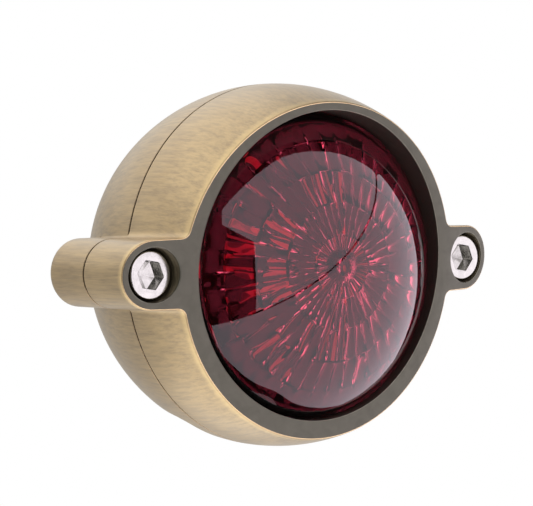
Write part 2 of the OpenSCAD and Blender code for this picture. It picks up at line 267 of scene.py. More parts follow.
class LoopMesh:
    """Collects welded points, quads between loops, and filled faces with holes."""

    def __init__(self):
        self.points, self.index, self.faces, self.finish, self.wear_and_highlight = [], {}, [], [], {}

    def loop(self, xs, depths, zs, wear_and_highlight=0.0):
        row = []
        size = np.shape(xs)
        for x, d, z, w in zip(xs, np.broadcast_to(depths, size), zs, np.broadcast_to(wear_and_highlight, size)):
            key = (round(float(x), 4), round(float(d), 4), round(float(z), 4))
            if key not in self.index:
                self.index[key] = len(self.points)
                self.points.append(key)
            self.wear_and_highlight[self.index[key]] = max(float(w), self.wear_and_highlight.get(self.index[key], 0.0))
            row.append(self.index[key])
        return row

    def strip(self, a, b, finish=0):
        for i in range(len(a)):
            j = (i + 1) % len(a)
            quad = [a[i], a[j], b[j], b[i]]
            face = [v for k, v in enumerate(quad) if v != quad[k - 1]]
            if len(set(face)) > 2:
                self.faces.append(face)
                self.finish.append(finish)

    def stack(self, loops, finish=0):
        for a, b in zip(loops, loops[1:]):
            self.strip(a, b, finish)

    def fill(self, outer, holes, finish=0):
        """Fills between an outer loop and its holes, working in x and z."""
        rows = [outer, *holes]
        flat = [i for row in rows for i in row]
        plan = [Vector((self.points[i][0], self.points[i][2])) for i in flat]
        edges, start = [], 0
        for row in rows:
            edges += [(start + k, start + (k + 1) % len(row)) for k in range(len(row))]
            start += len(row)
        verts, _, faces, origin, _, _ = geometry.delaunay_2d_cdt(plan, edges, [], 1, 1e-5)
        rings = [np.array([self.points[i] for i in row])[:, [0, 2]] for row in holes]
        for face in faces:
            middle = sum((verts[k] for k in face), Vector((0, 0))) / len(face)
            if any(inside(ring, middle) for ring in rings):
                continue
            self.faces.append([flat[origin[k][0]] for k in face])
            self.finish.append(finish)

    def build(self, name, materials, sharp=32):
        made = mesh_object(name, [place(*p) for p in self.points], self.faces)
        mesh = made.data
        for m in materials:
            mesh.materials.append(m)
        mesh.polygons.foreach_set("material_index", self.finish)
        # The per-point value marks edges that are worn bright and also carry a painted highlight.
        worn_and_highlit = mesh.attributes.new("wear_and_highlight", "FLOAT", "POINT")
        worn_and_highlit.data.foreach_set("value", [self.wear_and_highlight[i] for i in range(len(self.points))])
        tidy_normals(made, sharp)
        return made


def inside(ring, point):
    """Whether a point lies inside a closed ring of x, z points."""
    x, z = ring[:, 0] - point[0], ring[:, 1] - point[1]
    turn = np.arctan2(x * np.roll(z, -1) - z * np.roll(x, -1), x * np.roll(x, -1) + z * np.roll(z, -1))
    return abs(turn.sum()) > math.pi


def tidy_normals(made, sharp=32):
    """Faces outwards, smooth shading, and edges sharper than an angle left crisp."""
    work = bmesh.new()
    work.from_mesh(made.data)
    bmesh.ops.recalc_face_normals(work, faces=work.faces)
    work.to_mesh(made.data)
    work.free()
    made.data.polygons.foreach_set("use_smooth", [True] * len(made.data.polygons))
    made.data.set_sharp_from_angle(angle=math.radians(sharp))


# %% [markdown]
# ## The front half
# It is turned from bar, milled round two ears, then brushed, so its edges are softly
# broken and the plating is worn bright along them, with a painted highlight laid on the
# same edges. A bevel modifier on the imported mesh would break at its long thin triangles. Drawing the outline
# as stations (ear tip, ear
# side, fillet, ring) gives every edge its own rounding with the same number of points.

# %% The outline seen from the front
FILLET_FRONT = 1.6
FILLET_REAR = 0.7
TIP, SIDE, FILLET, RING = 14, 5, 8, 64
stations = np.array([(0, t) for t in np.linspace(0, 1, TIP, endpoint=False)]
                    + [(1, t) for t in np.linspace(0, 1, SIDE, endpoint=False)]
                    + [(2, t) for t in np.linspace(0, 1, FILLET, endpoint=False)]
                    + [(3, t) for t in np.linspace(0, 1, RING + 1)])
first = stations[:-1]
back = stations[:0:-1]
QUARTERS = ((first, 1, 1), (back, -1, 1), (first, -1, -1), (back, 1, -1))
PART = np.concatenate([q[:, 0] for q, _, _ in QUARTERS])
SHARE = np.concatenate([q[:, 1] for q, _, _ in QUARTERS])
SIGN_X = np.concatenate([np.full(len(q), sx) for q, sx, _ in QUARTERS])
SIGN_Z = np.concatenate([np.full(len(q), sz) for q, _, sz in QUARTERS])
print("stations round the outline:", len(PART))


def front_radius(depth):
    return SHELL_R - FRONT_ARC_R + np.sqrt(FRONT_ARC_R ** 2 - (depth - D_SPLIT) ** 2)


def rear_radius(depth):
    return SHELL_R - REAR_ARC_R + np.sqrt(REAR_ARC_R ** 2 - (depth - D_SPLIT) ** 2)


def outline(depth, radius, fillet, inset=0.0):
    """x and z of every station at its own depth, drawn in by inset."""
    r, e, f = radius(depth) - inset, EAR_R - inset, fillet + inset
    top = EAR_R + fillet
    cx = np.sqrt((r + f) ** 2 - top ** 2)
    phi = np.arctan2(top, cx)
    turn = 1.5 * np.pi - SHARE * (0.5 * np.pi - phi)
    sweep = phi + SHARE * (0.5 * np.pi - phi)
    x = np.choose(PART.astype(int), [BOLT_X + e * np.cos(SHARE * np.pi / 2),
                                     BOLT_X + (cx - BOLT_X) * SHARE,
                                     cx + f * np.cos(turn), r * np.cos(sweep)])
    z = np.choose(PART.astype(int), [e * np.sin(SHARE * np.pi / 2), e + 0 * cx,
                                     top + f * np.sin(turn), r * np.sin(sweep)])
    return x * SIGN_X, z * SIGN_Z


# %% The raked, bowed face
FACE_RAKE = math.radians(4.6)
FACE_BOW_R = 330.0
EAR_FALL_X = 31.0
EAR_SLOPE = math.radians(11.5)


def face_depth(x, z):
    """Depth of the front face: bowed sideways, raked, and falling away over the ears."""
    bow = FACE_BOW_R - np.sqrt(FACE_BOW_R ** 2 - np.square(x))
    fall = EAR_FALL_X ** 2 / 2 / FACE_BOW_R + (np.abs(x) - EAR_FALL_X) * math.tan(EAR_SLOPE)
    blend = 0.25
    deeper = 0.5 * (bow + fall + np.sqrt((bow - fall) ** 2 + blend ** 2))
    return (deeper - z * math.sin(FACE_RAKE)) / math.cos(FACE_RAKE)


# %% The outline laid on the face
def outline_on_face(radius, fillet, inset=0.0):
    depth = np.zeros(len(PART))
    for _ in range(12):
        x, z = outline(depth, radius, fillet, inset)
        depth = face_depth(x, z)
    return x, depth, z


def rounded(a, corner, b, steps=4):
    """Points that turn smoothly from a, past a corner, to b."""
    return [tuple((1 - t) ** 2 * p + 2 * t * (1 - t) * c + t ** 2 * q for p, c, q in zip(a, corner, b))
            for t in np.linspace(0, 1, steps + 1)]


def circle_xz(radius, cx=0.0, count=360):
    a = np.linspace(0, 2 * np.pi, count, endpoint=False)
    return cx + radius * np.cos(a), radius * np.sin(a)


# %% Front half
BORE_R = 28.2
LIP_DEPTH = 6.6
POCKET_R = 30.3
COUNTERBORE_R = 4.8
BOLT_CLEAR_R = 2.75
D_BOLT_SEAT = 9.6
EDGE = 0.28
EAR_EDGE = 0.42
TURNED_RIDGES = 13
TURNED_DEPTH = 0.045


def rounded_mouth(shape, radius, cx, count):
    """Loops that round a hole's mouth where it meets the face."""
    x0, z0 = circle_xz(radius + EDGE, cx, count)
    x1, z1 = circle_xz(radius, cx, count)
    d1 = face_depth(x1, z1)
    path = rounded((x0, face_depth(x0, z0), z0), (x1, d1, z1), (x1, d1 + EDGE, z1))
    # The rounding of each mouth is worn bright and carries a painted highlight.
    return [shape.loop(*p, wear_and_highlight=w) for p, w in zip(path, (0.1, 0.6, 0.9, 0.5, 0.0))], d1 + EDGE


# %% The front half, loop by loop
def front_shell():
    shape = LoopMesh()
    edge = np.choose(PART.astype(int), [EAR_EDGE + 0 * SHARE, EAR_EDGE + (EDGE - EAR_EDGE) * SHARE,
                                        EDGE + 0 * SHARE, EDGE + 0 * SHARE])
    inner = outline_on_face(front_radius, FILLET_FRONT, edge)
    corner = outline_on_face(front_radius, FILLET_FRONT)
    d_side = corner[1] + edge
    xs, zs = outline(d_side, front_radius, FILLET_FRONT)
    path = rounded(inner, corner, (xs, d_side, zs))
    # The rounded front edge is worn bright and carries a painted highlight.
    rim = [shape.loop(*p, wear_and_highlight=w) for p, w in zip(path, (0.1, 0.5, 0.8, 1, 0.8))]
    shape.stack(rim[:2], 1)
    shape.stack(rim[1:])
    rows = [rim[-1]]
    d_last = D_FRONT_END - 0.1
    # Painted highlight: a pale gold that fades back from the front edge along the side.
    for k, t in enumerate(np.linspace(0, 1, 19)[1:]):
        d = d_side + (d_last - d_side) * t ** 1.15
        xs, zs = outline(d, front_radius, FILLET_FRONT)
        rows.append(shape.loop(xs, d, zs, wear_and_highlight=0.6 * math.exp(-k / 1.6)))
    shape.stack(rows)
    end = np.full(len(PART), D_FRONT_END)
    xs, zs = outline(end, front_radius, FILLET_FRONT, 0.1)
    back_rim = shape.loop(xs, end, zs)
    shape.strip(rows[-1], back_rim)
    bore, d_bore = rounded_mouth(shape, BORE_R, 0, 360)
    shape.stack(bore, 1)
    x, z = circle_xz(BORE_R)
    wall = [bore[-1]]
    for t in np.linspace(0, 1, 7)[1:]:
        wall.append(shape.loop(x, d_bore + (LIP_DEPTH - d_bore) * t, z))
    x, z = circle_xz(POCKET_R)
    wall += [shape.loop(x, LIP_DEPTH, z), shape.loop(x, 11.0, z), shape.loop(x, D_FRONT_END, z)]
    shape.stack(wall, 2)
    mouths, ends = [], []
    for side in (-1, 1):
        mouth, d_mouth = rounded_mouth(shape, COUNTERBORE_R, side * BOLT_X, 96)
        sink = [mouth[-1]]
        for t in np.linspace(0, 1, 7 * TURNED_RIDGES + 1)[1:]:
            ridge = TURNED_DEPTH * (0.5 - 0.5 * math.cos(2 * math.pi * t * TURNED_RIDGES))
            x, z = circle_xz(COUNTERBORE_R - ridge, side * BOLT_X, 96)
            sink.append(shape.loop(x, d_mouth + (D_BOLT_SEAT - d_mouth) * t, z))
        x, z = circle_xz(BOLT_CLEAR_R, side * BOLT_X, 96)
        sink += [shape.loop(x, D_BOLT_SEAT, z), shape.loop(x, D_FRONT_END, z)]
        shape.stack(mouth, 1)
        shape.stack(sink, 3)
        mouths.append(mouth[0])
        ends.append(sink[-1])
    shape.fill(rim[0], [bore[0], *mouths], 1)
    shape.fill(back_rim, [wall[-1], *ends], 1)
    return shape


# %% [markdown]
# ## The rear half
# Its outside is one stack of loops as well: round the ears to their flat ends, across
# those ends, then on as plain circles to the mounting pad. Hollows and holes are cut from
# that solid with round bars and blocks, the way a mill would, using Blender's fast
# manifold boolean, which keeps the result a closed solid.

# %% Cutting tools
def boolean(target, tool, operation):
    step = target.modifiers.new("cut", "BOOLEAN")
    step.object, step.operation, step.solver = tool, operation, "MANIFOLD"
    result = bpy.data.meshes.new_from_object(target.evaluated_get(bpy.context.evaluated_depsgraph_get()))
    target.modifiers.clear()
    target.data = result
    bpy.data.objects.remove(tool)
    return target


def bar(x, z, d0, d1, radius, count=96):
    """A solid round bar along the light's axis."""
    shape = LoopMesh()
    xs, zs = circle_xz(radius, x, count)
    ends = [shape.loop(xs, d0, zs + z), shape.loop(xs, d1, zs + z)]
    shape.strip(*ends)
    shape.faces += [ends[0][::-1], ends[1]]
    shape.finish += [0, 0]
    return shape.build("tool", [])


def rounded_block(w, d0, d1, z0, z1, corner, x=0.0):
    """A block standing along z with rounded upright corners."""
    pts = []
    for cx, cd, start in ((w / 2 - corner, d1 - corner, 0), (-w / 2 + corner, d1 - corner, 90),
                          (-w / 2 + corner, d0 + corner, 180), (w / 2 - corner, d0 + corner, 270)):
        for a in np.radians(np.linspace(start, start + 90, 9)):
            pts.append((x + cx + corner * math.cos(a), cd + corner * math.sin(a)))
    xs, ds = np.array(pts).T
    shape = LoopMesh()
    ends = [shape.loop(xs, ds, np.full(len(xs), z)) for z in (z0, z1)]
    shape.strip(*ends)
    shape.faces += [ends[0][::-1], ends[1]]
    shape.finish += [0, 0]
    return shape.build("tool", [])


# %% Rear half
D_EAR_END = 26.9
EAR_ROUND = 1.2
PAD_ROUND = 0.7
WALL = 2.6
D_FLOOR = 44.0
D_WINDOW = 24.9
BEYOND = 60
POST_X, POST_R, POST_HOLE_R = 20, 3.2, 1.5
D_POST_FRONT, D_POST_HOLE = 24.5, 32
MOUNT_X, MOUNT_BOSS_R, MOUNT_HOLE_R = 12, 4.2, 2.1
MOUNT_BOSS_H, D_MOUNT_HOLE = 6, 39.5
PLATE_SCREW_X, PLATE_BOSS_R, PLATE_HOLE_R = 15.2, 1.6, 1
PLATE_BOARD_Z, BASE_TOP_Z, WINDOW_SEAT_Z = -19, -20.3, -22.5
BASE_W, D_BASE_FRONT, D_BASE_BACK = 44, 18.4, 31.8
WINDOW_W, D_WINDOW_FRONT, D_WINDOW_BACK, WINDOW_CORNER_R = 38, 19.8, 30.0, 2.5
LIGHT_WAY_W, LIGHT_WAY_L = 25, 6.5
D_BOLT_HOLE, BOLT_HOLE_R = 25.2, 2.55
GROMMET_NECK_R, GROMMET_FLANGE_R, GROMMET_GRIP = 4.5, 6.5, 2.4


def rear_fillet(depth):
    """The fillet at the ears' roots, running out to almost nothing at their ends."""
    return FILLET_REAR * (1 - 0.85 * min(1.0, max(0.0, (depth - 17) / (D_EAR_END - 18))))


# %% The outside of the rear half
def rear_outside():
    shape = LoopMesh()
    every = np.ones(len(PART))
    x, z = outline(D_REAR_START * every, rear_radius, FILLET_REAR, 0.1)
    rows = [shape.loop(x, D_REAR_START, z)]
    for k, d in enumerate([D_REAR_START + 0.1, *np.linspace(D_REAR_START + 0.7, D_EAR_END - EAR_ROUND, 9)]):
        x, z = outline(d * every, rear_radius, rear_fillet(d))
        rows.append(shape.loop(x, d, z, wear_and_highlight=0.2 if k == 0 else 0.0))
    on_ear = np.where(PART == 2, 1 - SHARE, np.where(PART < 2, 1.0, 0.0))
    # The ears' rounded ends are worn bright and carry a painted highlight.
    for a in np.radians([15, 30, 45, 60, 75, 90]):
        d = D_EAR_END - EAR_ROUND * (1 - math.sin(a))
        x, z = outline(d * every, rear_radius, rear_fillet(d), on_ear * EAR_ROUND * (1 - math.cos(a)))
        rows.append(shape.loop(x, d, z, wear_and_highlight=0.35 * on_ear))
    r_end = float(rear_radius(D_EAR_END))
    least = rear_fillet(D_EAR_END)
    phi = math.asin((EAR_R + least) / (r_end + least))
    step = (PART * 0 + 1) * phi / (TIP + SIDE + FILLET)
    past_tip = np.where(PART == 1, TIP + SHARE * SIDE, TIP + SIDE + SHARE * FILLET)
    order = np.where(PART == 0, SHARE * TIP, past_tip)
    angle = np.where(PART == 3, phi + SHARE * (np.pi / 2 - phi), order * step)
    for t in (0.34, 0.67, 1.0):
        xr, zr = r_end * np.cos(angle) * SIGN_X, r_end * np.sin(angle) * SIGN_Z
        rows.append(shape.loop(x + (xr - x) * t, D_EAR_END, z + (zr - z) * t))
    for d in np.linspace(D_EAR_END, BODY_DEPTH - PAD_ROUND, 20)[1:]:
        r = float(rear_radius(d))
        rows.append(shape.loop(r * np.cos(angle) * SIGN_X, d, r * np.sin(angle) * SIGN_Z))
    # The pad's rounded edge is worn bright and carries a painted highlight.
    for a in np.radians([22, 45, 67, 90]):
        r_pad = r - PAD_ROUND * (1 - math.cos(a)) * 1.6
        d = BODY_DEPTH - PAD_ROUND * (1 - math.sin(a))
        rows.append(shape.loop(r_pad * np.cos(angle) * SIGN_X, d, r_pad * np.sin(angle) * SIGN_Z, wear_and_highlight=0.8))
    for inner in (0.2, 1.2):
        rows.append(shape.loop((r_pad - inner) * np.cos(angle) * SIGN_X, BODY_DEPTH,
                               (r_pad - inner) * np.sin(angle) * SIGN_Z))
    shape.stack(rows)
    shape.fill(rows[0], [], 1)
    shape.fill(rows[-1], [], 1)
    return shape


# %% Its hollow and its holes
def cavity():
    """The hollow inside the rear half, without the posts and bosses that stand in it."""
    shape = LoopMesh()
    rows = []
    for d in [D_REAR_START - 1, *np.linspace(D_SPLIT + 0.4, D_FLOOR, 14)]:
        r = SHELL_R - REAR_ARC_R + math.sqrt((REAR_ARC_R - WALL) ** 2 - (d - D_SPLIT) ** 2)
        xs, zs = circle_xz(r)
        rows.append(shape.loop(xs, d, zs))
    shape.stack(rows)
    shape.faces += [rows[0][::-1], rows[-1]]
    shape.finish += [0, 0]
    hollow = shape.build("hollow", [])
    for s in (-1, 1):
        boolean(hollow, bar(s * POST_X, 0, D_POST_FRONT, BEYOND, POST_R), "DIFFERENCE")
        boolean(hollow, bar(s * MOUNT_X, 0, D_FLOOR - MOUNT_BOSS_H, BEYOND, MOUNT_BOSS_R), "DIFFERENCE")
        boss = rounded_block(2 * PLATE_BOSS_R, D_WINDOW - PLATE_BOSS_R, D_WINDOW + PLATE_BOSS_R,
                             -40, PLATE_BOARD_Z, PLATE_BOSS_R - 0.01, s * PLATE_SCREW_X)
        boolean(hollow, boss, "DIFFERENCE")
    base = rounded_block(BASE_W, D_BASE_FRONT, D_BASE_BACK, -40, BASE_TOP_Z, 0.4)
    return boolean(hollow, base, "DIFFERENCE")


def rear_shell(materials):
    made = rear_outside().build("rear_shell", materials)
    boolean(made, cavity(), "DIFFERENCE")
    for s in (-1, 1):
        boolean(made, bar(s * BOLT_X, 0, 0, D_BOLT_HOLE, BOLT_HOLE_R), "DIFFERENCE")
        boolean(made, bar(s * POST_X, 0, 0, D_POST_HOLE, POST_HOLE_R), "DIFFERENCE")
        boolean(made, bar(s * MOUNT_X, 0, D_MOUNT_HOLE, BEYOND, MOUNT_HOLE_R), "DIFFERENCE")
        hole = rounded_block(2 * PLATE_HOLE_R, D_WINDOW - PLATE_HOLE_R, D_WINDOW + PLATE_HOLE_R,
                             BASE_TOP_Z - 2, -12, PLATE_HOLE_R - 0.01, s * PLATE_SCREW_X)
        boolean(made, hole, "DIFFERENCE")
    boolean(made, bar(0, 0, D_FLOOR - 1, BEYOND, GROMMET_NECK_R), "DIFFERENCE")
    boolean(made, bar(0, 0, D_FLOOR + GROMMET_GRIP, BEYOND, GROMMET_FLANGE_R), "DIFFERENCE")
    opening = rounded_block(WINDOW_W, D_WINDOW_FRONT, D_WINDOW_BACK, -BEYOND, WINDOW_SEAT_Z,
                            WINDOW_CORNER_R)
    boolean(made, opening, "DIFFERENCE")
    light_way = rounded_block(LIGHT_WAY_W, D_WINDOW - LIGHT_WAY_L / 2, D_WINDOW + LIGHT_WAY_L / 2, -BEYOND, 0, 1)
    return boolean(made, light_way, "DIFFERENCE")


# %% [markdown]
# ## Finishes as node groups
# Several finishes share an effect: brushed grain, soft mottling, and edges worn bright with a painted highlight
# on them.
# Each effect is one node group with named inputs, placed in every material that needs it
# with its own values. The groups read object coordinates, so the grain stays the same
# size on every piece and needs no unwrapping.

# %% Node helpers
def new_group(name, inputs, outputs):
    tree = bpy.data.node_groups.new(name, "ShaderNodeTree")
    for label, kind, value in inputs:
        socket = tree.interface.new_socket(label, in_out="INPUT", socket_type=kind)
        socket.default_value = value
    for label, kind in outputs:
        tree.interface.new_socket(label, in_out="OUTPUT", socket_type=kind)
    return tree, tree.nodes.new("NodeGroupInput"), tree.nodes.new("NodeGroupOutput")


def node(tree, kind, values=(), **settings):
    """A node with its settings, and with numbers or links put into its inputs."""
    made = tree.nodes.new("ShaderNode" + kind)
    for key, value in settings.items():
        setattr(made, key, value)
    for key, value in dict(values).items():
        if isinstance(value, bpy.types.NodeSocket):
            tree.links.new(value, made.inputs[key])
        else:
            made.inputs[key].default_value = value
    return made


def use_group(tree, group, **values):
    made = tree.nodes.new("ShaderNodeGroup")
    made.node_tree = group
    for key, value in values.items():
        key = key.replace("_", " ").capitalize()
        if isinstance(value, bpy.types.NodeSocket):
            tree.links.new(value, made.inputs[key])
        else:
            made.inputs[key].default_value = value
    return made


def mix_colour(tree, share, a, b, blend="MIX"):
    made = node(tree, "Mix", data_type="RGBA", blend_type=blend)
    for key, value in ((0, share), (6, a), (7, b)):
        if isinstance(value, bpy.types.NodeSocket):
            tree.links.new(value, made.inputs[key])
        else:
            made.inputs[key].default_value = value if key == 0 or len(value) == 4 else (*value, 1)
    return made.outputs[2]


def math_node(tree, operation, a, b=0.0, c=0.0, clamp=False):
    return node(tree, "Math", {0: a, 1: b, 2: c}, operation=operation, use_clamp=clamp).outputs[0]


# %% Brushed grain, mottling and worn edges
def brushed_grain():
    """Fine lines along the light's depth, as a belt leaves them."""
    tree, given, out = new_group("brushed_grain", [("Across", "NodeSocketFloat", 4200.0),
                                                   ("Along", "NodeSocketFloat", 260.0)],
                                 [("Fine", "NodeSocketFloat"), ("Streak", "NodeSocketFloat")])
    where = node(tree, "TexCoord").outputs["Object"]
    for label, share, detail in (("Fine", 1.0, 4.0), ("Streak", 0.36, 3.0)):
        across = math_node(tree, "MULTIPLY", given.outputs["Across"], share)
        along = math_node(tree, "MULTIPLY", given.outputs["Along"], share)
        size = node(tree, "CombineXYZ", {0: across, 1: along, 2: across}).outputs[0]
        stretched = node(tree, "VectorMath", {0: where, 1: size}, operation="MULTIPLY").outputs[0]
        noise = node(tree, "TexNoise", {"Vector": stretched, "Scale": 1.0, "Detail": detail,
                                        "Roughness": 0.62})
        tree.links.new(noise.outputs["Fac"], out.inputs[label])
    return tree


def mottling():
    """Slow, cloudy change of tone, as plating and handling leave it."""
    tree, given, out = new_group("mottling", [("Scale", "NodeSocketFloat", 120.0),
                                              ("Low", "NodeSocketFloat", 0.38),
                                              ("High", "NodeSocketFloat", 0.62)],
                                 [("Cloud", "NodeSocketFloat")])
    where = node(tree, "TexCoord").outputs["Object"]
    noise = node(tree, "TexNoise", {"Vector": where, "Scale": given.outputs["Scale"], "Detail": 5.0,
                                    "Roughness": 0.55, "Distortion": 0.6})
    spread = node(tree, "MapRange", {"Value": noise.outputs["Fac"], 1: given.outputs["Low"],
                                     2: given.outputs["High"]})
    tree.links.new(spread.outputs[0], out.inputs["Cloud"])
    return tree


def worn_and_highlit_edge():
    """Edges worn bright and given a painted highlight: the mesh's own per-point value, broken up by noise."""
    tree, given, out = new_group("worn_and_highlit_edge", [("Threshold", "NodeSocketFloat", 0.35),
                                               ("Breakup", "NodeSocketFloat", 0.5)],
                                 [("Mask", "NodeSocketFloat")])
    wear_and_highlight = node(tree, "Attribute", attribute_name="wear_and_highlight").outputs["Fac"]
    where = node(tree, "TexCoord").outputs["Object"]
    noise = node(tree, "TexNoise", {"Vector": where, "Scale": 900.0, "Detail": 4.0}).outputs["Fac"]
    uneven = math_node(tree, "SUBTRACT", noise, 0.5)
    ragged = math_node(tree, "MULTIPLY_ADD", uneven, given.outputs["Breakup"], wear_and_highlight)
    mask = node(tree, "MapRange", {"Value": ragged, 1: given.outputs["Threshold"],
                                   2: math_node(tree, "ADD", given.outputs["Threshold"], 0.4)})
    tree.links.new(mask.outputs[0], out.inputs["Mask"])
    return tree


GRAIN, CLOUD, WORN_AND_HIGHLIT = brushed_grain(), mottling(), worn_and_highlit_edge()
print("node groups:", [g.name for g in (GRAIN, CLOUD, WORN_AND_HIGHLIT)])


# %% [markdown]
# ## Brushed antique brass and satin bronze
# The outside is plated, darkened and brushed back along its depth: pale gold where it was
# rubbed and where a highlight is painted along the edges, browner in the low spots. The
# face, bore and counterbores keep the dark finish, with gold showing only along edges,
# where they were rubbed through and where a highlight is painted.

# %% Shell metals
def brass():
    made, tree, shader = new_material("brushed_brass")
    grain = use_group(tree, GRAIN, across=4200.0, along=330.0)
    cloud = use_group(tree, CLOUD, scale=95.0, low=0.40, high=0.66)
    worn_and_highlit = use_group(tree, WORN_AND_HIGHLIT, threshold=0.3, breakup=0.5)
    tone = mix_colour(tree, cloud.outputs["Cloud"], (0.56, 0.41, 0.22), (0.48, 0.345, 0.185))
    streaks = node(tree, "MapRange", {"Value": grain.outputs["Streak"], 1: 0.40, 2: 0.64, 4: 0.72}).outputs[0]
    tone = mix_colour(tree, streaks, tone, (0.34, 0.25, 0.155))
    glints = node(tree, "MapRange", {"Value": grain.outputs["Fine"], 1: 0.35, 2: 0.75, 4: 0.4}).outputs[0]
    tone = mix_colour(tree, glints, tone, (0.70, 0.54, 0.31))
    # Pale gold along the edges: rubbed-through plating plus a painted edge highlight.
    rubbed_and_highlit = math_node(tree, "MULTIPLY", worn_and_highlit.outputs["Mask"], 0.6)
    tone = mix_colour(tree, rubbed_and_highlit, tone, (0.82, 0.61, 0.30))
    tree.links.new(tone, shader.inputs["Base Color"])
    shader.inputs["Metallic"].default_value = 1.0
    shader.inputs["Coat Weight"].default_value = 0.9
    shader.inputs["Coat Roughness"].default_value = 0.32
    rough = node(tree, "MapRange", {"Value": grain.outputs["Fine"], 1: 0.2, 2: 0.8,
                                    3: 0.32, 4: 0.46}).outputs[0]
    tree.links.new(rough, shader.inputs["Roughness"])
    bump = node(tree, "Bump", {"Height": grain.outputs["Fine"], "Strength": 0.45, "Distance": 0.00006})
    tree.links.new(bump.outputs[0], shader.inputs["Normal"])
    return made


def dark_bronze(name, colour, metallic, rough_low, rough_high, rings=0.0):
    """The dark finish; rings adds the fine turning marks that a counterbore keeps."""
    made, tree, shader = new_material(name)
    cloud = use_group(tree, CLOUD, scale=420.0, low=0.3, high=0.7)
    worn_and_highlit = use_group(tree, WORN_AND_HIGHLIT, threshold=0.55, breakup=0.35)
    darker = tuple(c * 0.86 for c in colour)
    tone = mix_colour(tree, cloud.outputs["Cloud"], colour, darker)
    # Lighter along the edges: worn through, plus a painted edge highlight.
    tone = mix_colour(tree, worn_and_highlit.outputs["Mask"], tone, tuple(c * 2.6 for c in colour))
    tree.links.new(tone, shader.inputs["Base Color"])
    shader.inputs["Metallic"].default_value = metallic
    rough = node(tree, "MapRange", {"Value": cloud.outputs["Cloud"], 3: rough_low, 4: rough_high}).outputs[0]
    tree.links.new(rough, shader.inputs["Roughness"])
    where = node(tree, "TexCoord").outputs["Object"]
    fine = node(tree, "TexNoise", {"Vector": where, "Scale": 5200.0, "Detail": 3.0}).outputs["Fac"]
    if rings:
        depth = node(tree, "SeparateXYZ", {0: where}).outputs["Y"]
        turned = math_node(tree, "SINE", math_node(tree, "MULTIPLY", depth, 2 * math.pi / 0.0004))
        fine = math_node(tree, "MULTIPLY_ADD", turned, rings, fine)
    bump = node(tree, "Bump", {"Height": fine, "Strength": 0.25, "Distance": 0.00005})
    tree.links.new(bump.outputs[0], shader.inputs["Normal"])
    return made


BRASS = brass()
FACE_BRONZE = dark_bronze("face_bronze", (0.083, 0.081, 0.062), 0.9, 0.36, 0.46)
BORE_BRONZE = dark_bronze("bore_bronze", (0.062, 0.048, 0.037), 0.35, 0.36, 0.46, rings=0.8)
COUNTERBORE = dark_bronze("counterbore_bronze", (0.21, 0.18, 0.11), 0.8, 0.3, 0.42, rings=1.6)
print("shell metals:", [m.name for m in (BRASS, FACE_BRONZE, BORE_BRONZE, COUNTERBORE)])

# %% Place the two halves
front = front_shell().build("front_shell", [BRASS, FACE_BRONZE, BORE_BRONZE, COUNTERBORE])
rear = rear_shell([BRASS, FACE_BRONZE, BORE_BRONZE])
tidy_normals(rear)
for half, cad in ((front, "front_housing"), (rear, "rear_housing")):
    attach(half, "light")
    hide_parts(cad)
    print(half.name, len(half.data.vertices), "points", len(half.data.polygons), "faces")


# %% [markdown]
# ## Clamp bolts
# Two socket-head bolts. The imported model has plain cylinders; here the head gets a
# rounded face edge, a straight knurl and a chamfered hexagon socket, and the shank a true
# helical thread. Each is one stack of loops whose radius depends on angle and depth.

# %% Socket-head bolt
D_HEAD = 3.8
D_WASHER = 8.8
D_TIP = 24.8
BOLT_R = 2.48
THREAD_PITCH = 0.8
THREAD_DEPTH = 0.46
SOCKET_FLAT = 2.4
SOCKET_TURN = math.radians(10)
SOCKET_DEPTH = 2.8
SOCKET_MOUTH = 0.15
COLUMNS = 96


def bolt_solid(side):
    shape = LoopMesh()
    angle = np.linspace(0, 2 * np.pi, COLUMNS, endpoint=False)

    def ring(r, d, wear_and_highlight=0.0):
        return shape.loop(side * BOLT_X + r * np.cos(angle), d, r * np.sin(angle), wear_and_highlight)

    sixth = np.pi / 3
    hexagon = SOCKET_FLAT / np.cos(np.mod(angle + SOCKET_TURN, sixth) - sixth / 2)
    floor_d = D_HEAD + SOCKET_DEPTH
    rows = [ring(0, floor_d + 0.5), ring(hexagon * 0.96, floor_d + 0.05)]
    for t in (0.0, 0.25, 0.5, 0.75, 1.0):
        rows.append(ring(hexagon, floor_d + (SOCKET_MOUTH - SOCKET_DEPTH) * t))
    rows += [ring(hexagon + 0.04, D_HEAD + 0.05), ring(hexagon + 0.12, D_HEAD), ring(3.2, D_HEAD)]
    soft = 0.32
    for a in np.radians([0, 15, 30, 45, 60, 75, 90]):
        rows.append(ring(HEAD_R - soft + soft * math.sin(a), D_HEAD + soft * (1 - math.cos(a)), 0.4))
    knurl = 0.09 * (0.5 + 0.5 * np.cos(angle * COLUMNS / 2))
    for d, share in ((4.5, 0), (4.65, 1), (6.5, 1), (8.35, 1), (8.5, 0), (8.65, 0)):
        rows.append(ring(HEAD_R - knurl * share, d, 0.3))
    rows += [ring(HEAD_R - 0.12, D_WASHER), ring(2.75, D_WASHER), ring(BOLT_R, D_WASHER + 0.2)]
    for d in np.arange(D_WASHER + 0.3, D_TIP, THREAD_PITCH / 10):
        phase = np.mod((d - D_WASHER) / THREAD_PITCH - angle / (2 * np.pi), 1)
        groove = np.clip((np.abs(phase - 0.5) - 0.09) / 0.31, 0, 1)
        runout = min(1.0, max(0.0, (d - D_WASHER - 0.6) / THREAD_PITCH))
        r = BOLT_R - THREAD_DEPTH * (1 - groove) * runout
        rows.append(ring(np.minimum(r, 1.88 + (D_TIP - d)), d))
    rows += [ring(1.86, D_TIP - 0.02), ring(1.7, D_TIP), ring(0, D_TIP)]
    shape.stack(rows)
    return shape


